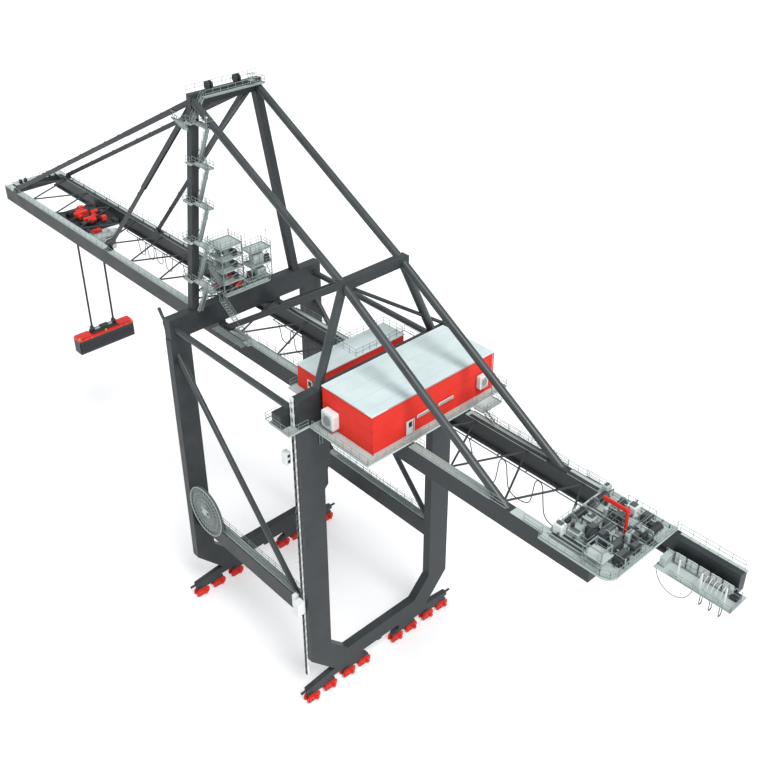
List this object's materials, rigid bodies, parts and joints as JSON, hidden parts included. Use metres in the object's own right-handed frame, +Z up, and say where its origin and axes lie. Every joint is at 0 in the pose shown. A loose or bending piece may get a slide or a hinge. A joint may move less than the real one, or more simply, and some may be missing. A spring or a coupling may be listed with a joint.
{
  "type": "ship-to-shore container gantry crane, scale model 1:10",
  "caption": "Rail-mounted ship-to-shore container gantry crane with luffing boom, trolley, spreader and container, as a scale model.",
  "frame": {"origin": "centre of the whole crane at the foot of its rail wheels", "axes": "+X towards the water along the boom, +Y along the rails to the near side, +Z up"},
  "size_m": [15.832, 3.26, 8.89],
  "materials": {
    "structure_grey": "satin",
    "walkway_grey": "matte",
    "house_red": "satin",
    "roof_grey": "matte",
    "white_paint": "satin",
    "machine_red": "satin",
    "bare_steel": "worn",
    "container_slate": "satin",
    "reel_grey": "satin"
  },
  "bodies": {
    "root": {"access_platforms": "walkway_grey", "apex_beam": "structure_grey", "apex_legs": "structure_grey", "backstays": "structure_grey", "bogies": "machine_red", "ehouse_roof": "roof_grey", "ehouse_walls": "house_red", "equalisers": "structure_grey", "far_girder": "structure_grey", "forward_struts": "structure_grey", "girder_gratings": "walkway_grey", "girder_lacing": "structure_grey", "hinge_cheeks": "structure_grey", "house_floors": "walkway_grey", "house_roof": "roof_grey", "house_walls": "house_red", "jib_post": "machine_red", "landing_cabin": "structure_grey", "landside_cross_beam": "structure_grey", "landside_legs": "structure_grey", "landside_sill": "structure_grey", "lift_mast": "walkway_grey", "mast_brace": "structure_grey", "mast_head": "structure_grey", "mast_legs": "structure_grey", "mast_stairs": "walkway_grey", "near_girder": "structure_grey", "portal_ties": "structure_grey", "rail_wheels": "bare_steel", "rear_catwalk": "walkway_grey", "reel_bracket": "structure_grey", "service_platform": "walkway_grey", "side_braces": "structure_grey", "top_struts": "structure_grey", "upper_ties": "structure_grey", "waterside_cross_beam": "structure_grey", "waterside_legs": "structure_grey", "waterside_sill": "structure_grey"},
    "boom": {"near_boom_girder": "structure_grey", "far_boom_girder": "structure_grey", "boom_lacing": "structure_grey", "boom_lugs": "structure_grey", "boom_gratings": "walkway_grey"},
    "outer_upper": {"outer_stay_upper": "structure_grey"},
    "outer_lower": {"outer_stay_lower": "structure_grey"},
    "inner_upper": {"inner_stay_upper": "structure_grey"},
    "inner_lower": {"inner_stay_lower": "structure_grey"},
    "trolley": {"trolley_frame": "machine_red", "trolley_machinery": "machine_red", "trolley_wheels": "bare_steel", "operator_cab": "white_paint"},
    "load": {"hoist_ropes": "bare_steel", "headblock": "structure_grey", "spreader": "machine_red", "container": "container_slate"},
    "reel": {"cable_reel": "reel_grey"},
    "jib": {"jib_arm": "machine_red"},
    "lift": {"lift_car": "white_paint"},
    "house_door_leaf": {"house_door": "white_paint"},
    "ehouse_door_leaf": {"ehouse_door": "white_paint"}
  },
  "joints": [
    {"name": "boom_luff", "type": "hinge", "parent": "root", "child": "boom", "pos_m": [0.938, 0, 5.24], "axis": [0, -1, 0], "range_deg": [0, 80]},
    {"name": "outer_upper_fold", "type": "hinge", "parent": "root", "child": "outer_upper", "pos_m": [0.713, 0, 8.62], "axis": [0, -1, 0], "range_deg": [-63.77, 0]},
    {"name": "outer_lower_fold", "type": "hinge", "parent": "boom", "child": "outer_lower", "pos_m": [7.413, 0, 5.246], "axis": [0, -1, 0], "range_deg": [0, 22.65]},
    {"name": "inner_upper_fold", "type": "hinge", "parent": "root", "child": "inner_upper", "pos_m": [0.713, 0, 8.62], "axis": [0, -1, 0], "range_deg": [-43.67, 0]},
    {"name": "inner_lower_fold", "type": "hinge", "parent": "boom", "child": "inner_lower", "pos_m": [3.878, 0, 5.246], "axis": [0, -1, 0], "range_deg": [0, 37.35]},
    {"name": "trolley_travel", "type": "slide", "parent": "boom", "child": "trolley", "axis": [1, 0, 0], "range_m": [-3.7, 1.4]},
    {"name": "hoist", "type": "slide", "parent": "trolley", "child": "load", "axis": [0, 0, 1], "range_m": [-2.1, 1.7], "deforming": ["hoist_ropes"]},
    {"name": "reel_spin", "type": "hinge", "parent": "root", "child": "reel", "pos_m": [-0.047, 1.43, 2.24], "axis": [0, 1, 0], "continuous": true},
    {"name": "jib_slew", "type": "hinge", "parent": "root", "child": "jib", "pos_m": [-6.669, 0, 5.19], "axis": [0, 0, 1], "range_deg": [-170, 170]},
    {"name": "lift_travel", "type": "slide", "parent": "root", "child": "lift", "axis": [0, 0, 1], "range_m": [-1.3, 2.7]},
    {"name": "house_door_swing", "type": "hinge", "parent": "root", "child": "house_door_leaf", "pos_m": [-3.671, 0.41, 5.255], "axis": [0, 0, 1], "range_deg": [0, 100]},
    {"name": "ehouse_door_swing", "type": "hinge", "parent": "root", "child": "ehouse_door_leaf", "pos_m": [-2.132, 0.809, 5.255], "axis": [0, 0, 1], "range_deg": [0, 100]}
  ],
  "couplings": [
    {"joint": "outer_upper_fold", "follows": "boom_luff", "ratio": -0.79089},
    {"joint": "outer_lower_fold", "follows": "boom_luff", "ratio": 0.27682},
    {"joint": "inner_upper_fold", "follows": "boom_luff", "ratio": -0.53962},
    {"joint": "inner_lower_fold", "follows": "boom_luff", "ratio": 0.46066}
  ]
}
